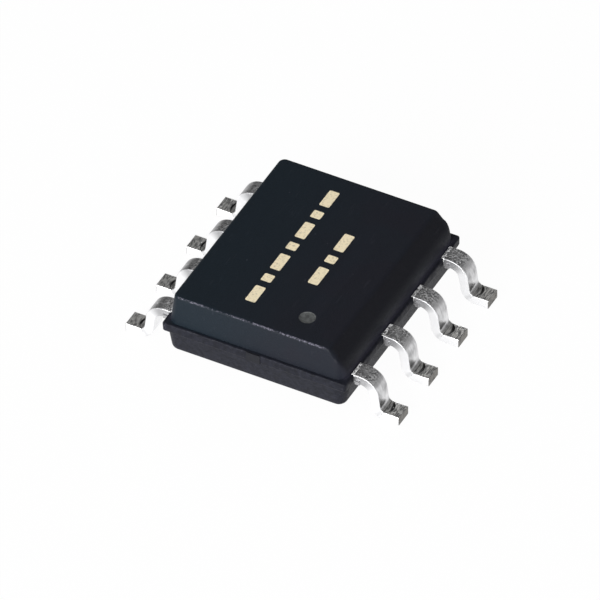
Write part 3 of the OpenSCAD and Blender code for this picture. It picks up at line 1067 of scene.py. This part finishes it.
def bent_lead(tree, given):
    """Sweeps the strip, leaves its head and dam stubs wide, dents, ripples, places and plates it."""
    strip = swept_strip(tree, given)
    place = add_field(tree, "GeometryNodeInputPosition")
    along = recalled(tree, "along", "FLOAT")
    across = parts(recalled(tree, "section", "FLOAT_VECTOR"))
    side = compute("SIGN", parts(place)[0])
    head = (along < given["Head length"]) * given["Head widening"]
    dam = (along > given["Dam start"]) * (along < given["Dam end"]) * given["Dam stub"]
    widening = (head + dam * (across[1] > 0.0)) * side
    strip = moved(strip, add_field(tree, "ShaderNodeCombineXYZ", {"X": widening}))
    strip = moved(strip, add_field(tree, "ShaderNodeCombineXYZ", {"Z": dent_rise(given, along, across)}))
    noise_inputs = {"Vector": place, "W": given["Seed"], "Scale": RIPPLE_CLUMPS, "Detail": RIPPLE_DETAIL}
    cloud = add_field(tree, "ShaderNodeTexNoise", noise_inputs, "Color", noise_dimensions="4D")
    centred = add_field(tree, "ShaderNodeVectorMath", {0: cloud, 1: NOISE_MIDDLE}, operation="SUBTRACT")
    ripple = {0: centred, "Scale": given["Ripple"]}
    strip = moved(strip, add_field(tree, "ShaderNodeVectorMath", ripple, operation="SCALE"))
    strip = add_field(tree, "GeometryNodeTransform",
                      {"Geometry": strip, "Translation": given["Place"], "Rotation": given["Turn"]})
    strip = add_field(tree, "GeometryNodeRealizeInstances", {"Geometry": strip})
    return add_field(tree, "GeometryNodeSetMaterial", {"Geometry": strip, "Material": given["Material"]})


def lead_path(leads):
    """Corner points of the lead's middle line, from the bond head to the tip, for the side at +Y."""
    half = leads.thickness / 2.0
    flat_z = LEAD_HIGH.z - half
    foot_z = LEAD_LOW.z + half
    shoulder = leads.shoulder_radius + half
    leg_y = BODY_HIGH.y + leads.dam_gap + leads.dam_length + shoulder * math.cos(leads.lean)
    leg_z = flat_z - shoulder + shoulder * math.sin(leads.lean)
    slope = math.tan(leads.lean)
    shoulder_y = leg_y - (flat_z - leg_z) * slope
    heel_y = leg_y + (leg_z - foot_z) * slope
    corners = ((LEAD_ROOT, flat_z), (shoulder_y, flat_z), (heel_y, foot_z), (LEAD_TIP, foot_z))
    return [(0.0, y, z) for y, z in corners]


class LeadRuns:
    """Distances along a lead's middle line to the places where its shape or finish changes."""

    def __init__(self, leads):
        root, shoulder, heel = (Vector(point) for point in lead_path(leads)[:3])
        turn = QUARTER_TURN - leads.lean
        shoulder_radius = leads.shoulder_radius + leads.thickness / 2.0
        heel_radius = leads.heel_radius + leads.thickness / 2.0
        shoulder_cut = shoulder_radius * math.tan(turn / 2.0)
        heel_cut = heel_radius * math.tan(turn / 2.0)
        straight = (heel - shoulder).length - shoulder_cut - heel_cut
        self.shoulder = (shoulder - root).length - shoulder_cut
        self.body = self.shoulder - leads.dam_length - leads.dam_gap
        self.leg = self.shoulder + shoulder_radius * turn
        self.heel = self.leg + straight + heel_radius * turn / 2.0
        self.dent = self.heel + heel_radius * turn / 2.0 - leads.dent_back


def lead_values(leads, pin, material):
    """Values for the named inputs of the lead's tree."""
    low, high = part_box(f"lead_{pin}")
    root, shoulder, heel, tip = lead_path(leads)
    half = leads.thickness / 2.0
    far = low.y + high.y > 0.0
    dam_start = BODY_HIGH.y + leads.dam_gap - LEAD_ROOT
    return {
        "Root": root, "Shoulder": shoulder, "Heel": heel, "Tip": tip,
        "Shoulder radius": leads.shoulder_radius + half, "Heel radius": leads.heel_radius + half,
        "Width": leads.width, "Thickness": leads.thickness, "Edge rounding": leads.edge_round,
        "Ring step": leads.ring_step, "Head length": leads.head_length,
        "Head widening": (leads.head_width - leads.width) / 2.0,
        "Dam start": dam_start, "Dam end": dam_start + leads.dam_length, "Dam stub": leads.dam_out,
        "Dent run": LeadRuns(leads).dent, "Dent reach": leads.dent_reach,
        "Dent depth": leads.dent_depth, "Dent lip": leads.dent_lip,
        "Ripple": leads.ripple, "Seed": SEED_STEP * pin, "Material": material,
        "Place": ((low.x + high.x) / 2.0, 0.0, 0.0), "Turn": (0.0, 0.0, 0.0 if far else math.pi),
    }


def grow_mesh(name, tree, values):
    """Runs a geometry tree with the given inputs and returns the result as a plain mesh."""
    seed = add_object(name, bpy.data.meshes.new(name))
    modifier = seed.modifiers.new(tree.name, "NODES")
    modifier.node_group = tree
    for item in tree.interface.items_tree:
        if item.in_out == "INPUT":
            modifier[item.identifier] = values[item.name]
    seed.update_tag()
    evaluated = seed.evaluated_get(bpy.context.evaluated_depsgraph_get())
    mesh = bpy.data.meshes.new_from_object(evaluated)
    bpy.data.objects.remove(seed)
    if not mesh.polygons:
        raise RuntimeError(f"{name}: the geometry tree gave no faces")
    return mesh


# Faces, trimmed end, burrs and painted edge highlights; the shares are of the ring step, the edge rounding
# and the half width
FLAT_PLAY = 1.0 * MICRON
END_SHARE, EDGE_SHARE, ROOT_SHARE = 0.2, 0.4, 0.6
EDGE_HIGHLIGHT_REACH = 0.09 * MM
ROOT_RIM = 0.95

# Foot, leg and bends along the lead, with painted shade on the bends and on the far row's feet
FOOT_BLEND, FOOT_MIDDLE = 0.12 * MM, 0.5
LEG_BLEND, LEG_LATE, LEG_LONG = 0.20 * MM, 0.6, 0.7
BEND_SHADE_REACH = 0.30 * MM
BEND_BLEND, BEND_DARK = 0.10 * MM, 0.45
FAR_FOOT_SHADE = 0.75

# Painted shade and painted highlights in the heel dent, by shares of its reach
WALL_FULL, WALL_MIDDLE, WALL_HALF, FAR_WALL_HALF = 2.4, 0.85, 0.26, 0.11
CREASE_DARK, CREASE_MIDDLE, CREASE_HALF = 0.7, 0.06, 0.12
SLOPE_SHINE, SLOPE_MIDDLE, LIP_SHINE, LIP_MIDDLE, SHINE_HALF = 0.5, 0.48, 0.35, 1.17, 0.12

LEAD_MARKS = ("flat", "bare", "burr_and_highlight", "foot", "leg", "strain", "dent", "dent_highlight")


def peak(value, middle, half):
    """1 at the middle of a stretch, falling to 0 at half its length on both sides."""
    return clamp(1.0 - abs(value - middle) / half)


def lead_marks(leads, runs, section, run, end, far):
    """Weights of the finishes, painted shade and painted highlights at one place on a lead, by its place
    across and along the strip.
    """
    half = leads.thickness / 2.0
    half_width = leads.width / 2.0
    corner = half_width - leads.edge_round
    top = section.y < 0.0
    bare = run > end - END_SHARE * leads.ring_step
    flat = abs(section.y) > half - FLAT_PLAY and not bare
    at_edge = section.y < EDGE_SHARE * leads.edge_round - half and abs(section.x) > corner
    # Painted highlight along the top edges from the root past the shoulder; pale burr flecks on the top at
    # the root
    burr_and_highlight = at_edge * clamp(1.0 - (run - runs.shoulder) / EDGE_HIGHLIGHT_REACH)
    if top and run < runs.body:
        burr_and_highlight = 1.0 if abs(section.x) > ROOT_SHARE * corner else ROOT_RIM
    arc = math.sqrt(max(1.0 - (section.x / half_width) ** 2, ARC_FLOOR))
    part = (run - runs.dent) / (leads.dent_reach * arc)
    # Painted shade on the dent's wall and crease
    wall = clamp(WALL_FULL * peak(part, WALL_MIDDLE, FAR_WALL_HALF if far else WALL_HALF))
    crease = CREASE_DARK * peak(part, CREASE_MIDDLE, CREASE_HALF)
    # Painted highlights on the dent's slope and lip
    on_slope = SLOPE_SHINE * peak(part, SLOPE_MIDDLE, SHINE_HALF)
    on_lip = LIP_SHINE * peak(part, LIP_MIDDLE, SHINE_HALF)
    foot = clamp((run - runs.heel) / FOOT_BLEND + FOOT_MIDDLE)
    past_shoulder = clamp((run - runs.shoulder) / LEG_BLEND - LEG_LATE)
    before_heel = clamp((runs.heel - run) / LEG_BLEND + LEG_LONG)
    # Painted shade on the far row's upper bend
    far_bend_shade = far * top * flat * clamp((run - runs.shoulder) / BEND_BLEND) * clamp((runs.leg - run) / BEND_BLEND)
    # Painted shade: darker plate on both bends and on the far row's feet
    strain = max(peak(run, runs.leg, BEND_SHADE_REACH), peak(run, runs.heel, BEND_SHADE_REACH), FAR_FOOT_SHADE * far * foot)
    return {
        "flat": float(flat), "bare": float(bare), "burr_and_highlight": burr_and_highlight, "foot": foot,
        "leg": past_shoulder * before_heel, "strain": max(strain * top, far_bend_shade),
        "dent": max(wall * top, crease * top, BEND_DARK * far_bend_shade), "dent_highlight": max(on_slope, on_lip) * top,
    }


def shade_lead(mesh, leads):
    """Turns the mesh outwards, keeps it in the frame's box and marks its finishes and its painted shade and
    highlights.
    """
    runs = LeadRuns(leads)
    end = max(item.value for item in mesh.attributes["along"].data)
    bm = bmesh.new()
    bm.from_mesh(mesh)
    bmesh.ops.recalc_face_normals(bm, faces=bm.faces)
    layers = mark_layers(bm, LEAD_MARKS)
    along_layer = bm.verts.layers.float["along"]
    section_layer = bm.verts.layers.float_vector["section"]
    for vert in bm.verts:
        vert.co.y = clamp(vert.co.y, -LEAD_TIP, LEAD_TIP)
        vert.co.z = clamp(vert.co.z, LEAD_LOW.z, LEAD_HIGH.z)
        weights = lead_marks(leads, runs, vert[section_layer], vert[along_layer], end, vert.co.y > 0.0)
        if weights["bare"]:
            vert.co.y = math.copysign(LEAD_TIP, vert.co.y)
        for name, weight in weights.items():
            vert[layers[name]] = weight
    bm.to_mesh(mesh)
    bm.free()


class CHIP_OT_bend_leads(Operator):
    """Bends the eight gull-wing leads and plates them with matte tin"""
    bl_idname = "chip.bend_leads"
    bl_label = "Bend the leads"

    def execute(self, context):
        leads = context.scene.chip.leads
        material = tin_material(leads)
        tree = new_group("Bent lead", "GeometryNodeTree", bent_lead, lead_values(leads, 1, material))
        for pin in PINS:
            mesh = grow_mesh(f"plated_lead_{pin}", tree, lead_values(leads, pin, material))
            shade_lead(mesh, leads)
            piece = place_mesh(mesh, f"plated_lead_{pin}", material, LEAD_SMOOTH)
            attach(piece, "root")
            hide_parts(f"lead_{pin}")
        return {"FINISHED"}


# Printed marks

BAR_CORNER_STEPS = 6
INK_SINK = 0.2 * MICRON
FLAT_SMOOTH = math.radians(30.0)


def add_bar(bm, marks, middle_x, middle_y, width, low):
    """Adds one thin printed bar with round corners."""
    corners = Outline([], [], BAR_CORNER_STEPS).stations
    spots = [station.at(width / 2.0, marks.bar_height / 2.0, marks.corner) for station in corners]
    under = add_ring(bm, [(middle_x + x, middle_y + y, low) for x, y in spots])
    over = add_ring(bm, [(middle_x + x, middle_y + y, low + marks.ink_thickness) for x, y in spots])
    bridge(bm, under, over)
    bm.faces.new(under)
    bm.faces.new(over)


def add_row(bm, marks, middle_y, span, dashes, low):
    """Adds a row of dashes with a square between each two."""
    square = marks.bar_height
    squares = dashes - 1
    dash = (span - squares * square - 2 * squares * marks.bar_gap) / dashes
    x = marks.shift - span / 2.0
    for number in range(dashes + squares):
        width = dash if number % 2 == 0 else square
        add_bar(bm, marks, x + width / 2.0, middle_y, width, low)
        x += width + marks.bar_gap


class CHIP_OT_print_marks(Operator):
    """Prints two plain rows of dashes on the top face"""
    bl_idname = "chip.print_marks"
    bl_label = "Print the marks"

    def execute(self, context):
        settings = context.scene.chip
        marks = settings.marks
        low = BODY_HIGH.z - settings.body.print_room - INK_SINK
        bm = bmesh.new()
        add_row(bm, marks, marks.first_row, marks.first_span, marks.first_count, low)
        add_row(bm, marks, marks.second_row, marks.second_span, marks.second_count, low)
        piece = finish_mesh(bm, "printed_marks", ink_material(marks), FLAT_SMOOTH)
        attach(piece, "root")
        return {"FINISHED"}


# Pieces sealed in the body

class CHIP_OT_finish_inside(Operator):
    """Gives the paddle, the die, its attach layer and the bond wires their finishes"""
    bl_idname = "chip.finish_inside"
    bl_label = "Finish the inner pieces"

    def execute(self, context):
        inside = context.scene.chip.inside
        finishes = {"die_paddle": frame_material(inside), "die_attach": epoxy_material(inside),
                    "flash_die": silicon_material(inside)}
        gold = gold_material(inside)
        for pin in PINS:
            finishes[f"bond_wire_{pin}"] = gold
        for name, material in finishes.items():
            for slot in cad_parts[name].material_slots:
                slot.material = material
        return {"FINISHED"}


# Studio

WHITE = (1.0, 1.0, 1.0)
SKY_CURVE = 4.0
SENSOR = 36.0
CLIP_START = 1.0 * MM
FLOOR_GAP = 2.0 * MICRON
FLOOR_SQUARES = 8


def floor_material(studio):
    """Pale floor: plain white to the camera and in reflections, with the chip's shadow kept."""
    material, tree = new_material("studio_floor")
    mottle = effect(tree, "Grain", scale=0.4, detail=3.0)
    dress(material, {"Base Color": two_tone(mottle, studio.floor_colour, dark=0.98, light=1.02),
                     "Roughness": 0.9, "Specular IOR Level": 0.0})
    rays = add_fields(tree, "ShaderNodeLightPath")
    seen = largest(rays["Is Camera Ray"], rays["Is Glossy Ray"], rays["Is Transmission Ray"])
    matte = Field(tree, tree.nodes["Principled BSDF"].outputs[0])
    white = add_field(tree, "ShaderNodeEmission", {"Color": WHITE, "Strength": 1.0})
    mixed = add_field(tree, "ShaderNodeMixShader", {0: seen * studio.floor_white, 1: matte, 2: white})
    feed(tree, tree.nodes["Material Output"].inputs["Surface"], mixed)
    return material


def set_room(scene, studio):
    """A room that is pale at the horizon and dimmer overhead."""
    world = bpy.data.worlds.new("studio_room")
    world.use_nodes = True
    tree = world.node_tree
    upwards = parts(add_field(tree, "ShaderNodeTexCoord", output="Generated"))[2]
    drop = (1.0 - largest(upwards, 0.0)) ** SKY_CURVE
    room = tree.nodes["Background"].inputs
    feed(tree, room["Color"], WHITE)
    feed(tree, room["Strength"], drop * (studio.horizon - studio.zenith) + studio.zenith)
    scene.world = world


def add_soft_box(name, power, direction, reach, size):
    """Adds a square soft box that shines on the chip from a direction; reach and size are in metres."""
    lamp = bpy.data.lights.new(name, "AREA")
    lamp.energy = power
    lamp.size = size
    box = add_object(name, lamp)
    towards = Vector(direction).normalized()
    box.location = towards * reach
    box.rotation_euler = towards.to_track_quat("Z", "Y").to_euler()


def add_camera(scene, studio):
    """The camera at its angle, with a lens that shows the picture's span at the aim."""
    data = bpy.data.cameras.new("studio_camera")
    data.sensor_width = SENSOR
    data.sensor_fit = "HORIZONTAL"
    data.lens = SENSOR * studio.distance / studio.picture_span
    data.clip_start = CLIP_START
    turn = Matrix.Rotation(studio.azimuth, 3, "Z") @ Matrix.Rotation(QUARTER_TURN - studio.elevation, 3, "X")
    turn = turn @ Matrix.Rotation(studio.roll, 3, "Z")
    right, up, back = turn.col
    aim = Vector((0.0, 0.0, studio.aim_height)) + right * studio.aim_right + up * studio.aim_up
    camera = add_object("studio_camera", data)
    camera.matrix_world = Matrix.Translation(aim + back * studio.distance) @ turn.to_4x4()
    scene.camera = camera


class CHIP_OT_set_studio(Operator):
    """Lays the floor, lights the room and places the camera"""
    bl_idname = "chip.set_studio"
    bl_label = "Set up the studio"

    def execute(self, context):
        scene = context.scene
        studio = scene.chip.studio
        bm = bmesh.new()
        bmesh.ops.create_grid(bm, x_segments=FLOOR_SQUARES, y_segments=FLOOR_SQUARES,
                              size=studio.floor_size / 2.0, matrix=Matrix.Translation((0.0, 0.0, -FLOOR_GAP)))
        mesh = bpy.data.meshes.new("studio_floor")
        bm.to_mesh(mesh)
        bm.free()
        floor = place_mesh(mesh, "studio_floor", floor_material(studio), FLAT_SMOOTH)
        set_room(scene, studio)
        add_soft_box("front_box", studio.front_power, direction=(-0.86, 0.05, 0.34), reach=0.22, size=0.14)
        add_soft_box("top_box", studio.top_power, direction=(-0.2, -0.25, 1.0), reach=0.25, size=0.16)
        add_camera(scene, studio)
        scene.view_settings.view_transform = "Standard"
        return {"FINISHED"}


# Panel and registration

class CHIP_PT_sidebar(Panel):
    """Lists the steps that make the chip and its settings"""
    bl_idname = "CHIP_PT_sidebar"
    bl_label = "Flash memory chip"
    bl_space_type = "VIEW_3D"
    bl_region_type = "UI"
    bl_category = "Chip"

    def draw(self, context):
        layout = self.layout
        for step in STEPS:
            layout.operator(step.bl_idname)
        for group in ("body", "leads", "marks", "inside", "studio"):
            box = layout.box()
            settings = getattr(context.scene.chip, group)
            for name in settings.bl_rna.properties.keys():
                if name not in ("rna_type", "name"):
                    box.prop(settings, name)


STEPS = (CHIP_OT_mould_body, CHIP_OT_bend_leads, CHIP_OT_print_marks, CHIP_OT_finish_inside,
         CHIP_OT_set_studio)
CLASSES = (ChipBodySettings, ChipLeadSettings, ChipMarkSettings, ChipInsideSettings, ChipStudioSettings,
           ChipSettings) + STEPS + (CHIP_PT_sidebar,)


def register():
    """Registers the classes and hangs the settings on the scene."""
    for item in CLASSES:
        bpy.utils.register_class(item)
    bpy.types.Scene.chip = PointerProperty(type=ChipSettings)


def unregister():
    """Takes the settings and the classes away again."""
    del bpy.types.Scene.chip
    for item in reversed(CLASSES):
        bpy.utils.unregister_class(item)


def main():
    """Makes the chip step by step."""
    register()
    bpy.ops.chip.mould_body()
    bpy.ops.chip.bend_leads()
    bpy.ops.chip.print_marks()
    bpy.ops.chip.finish_inside()
    bpy.ops.chip.set_studio()


if __name__ == "__main__":
    main()
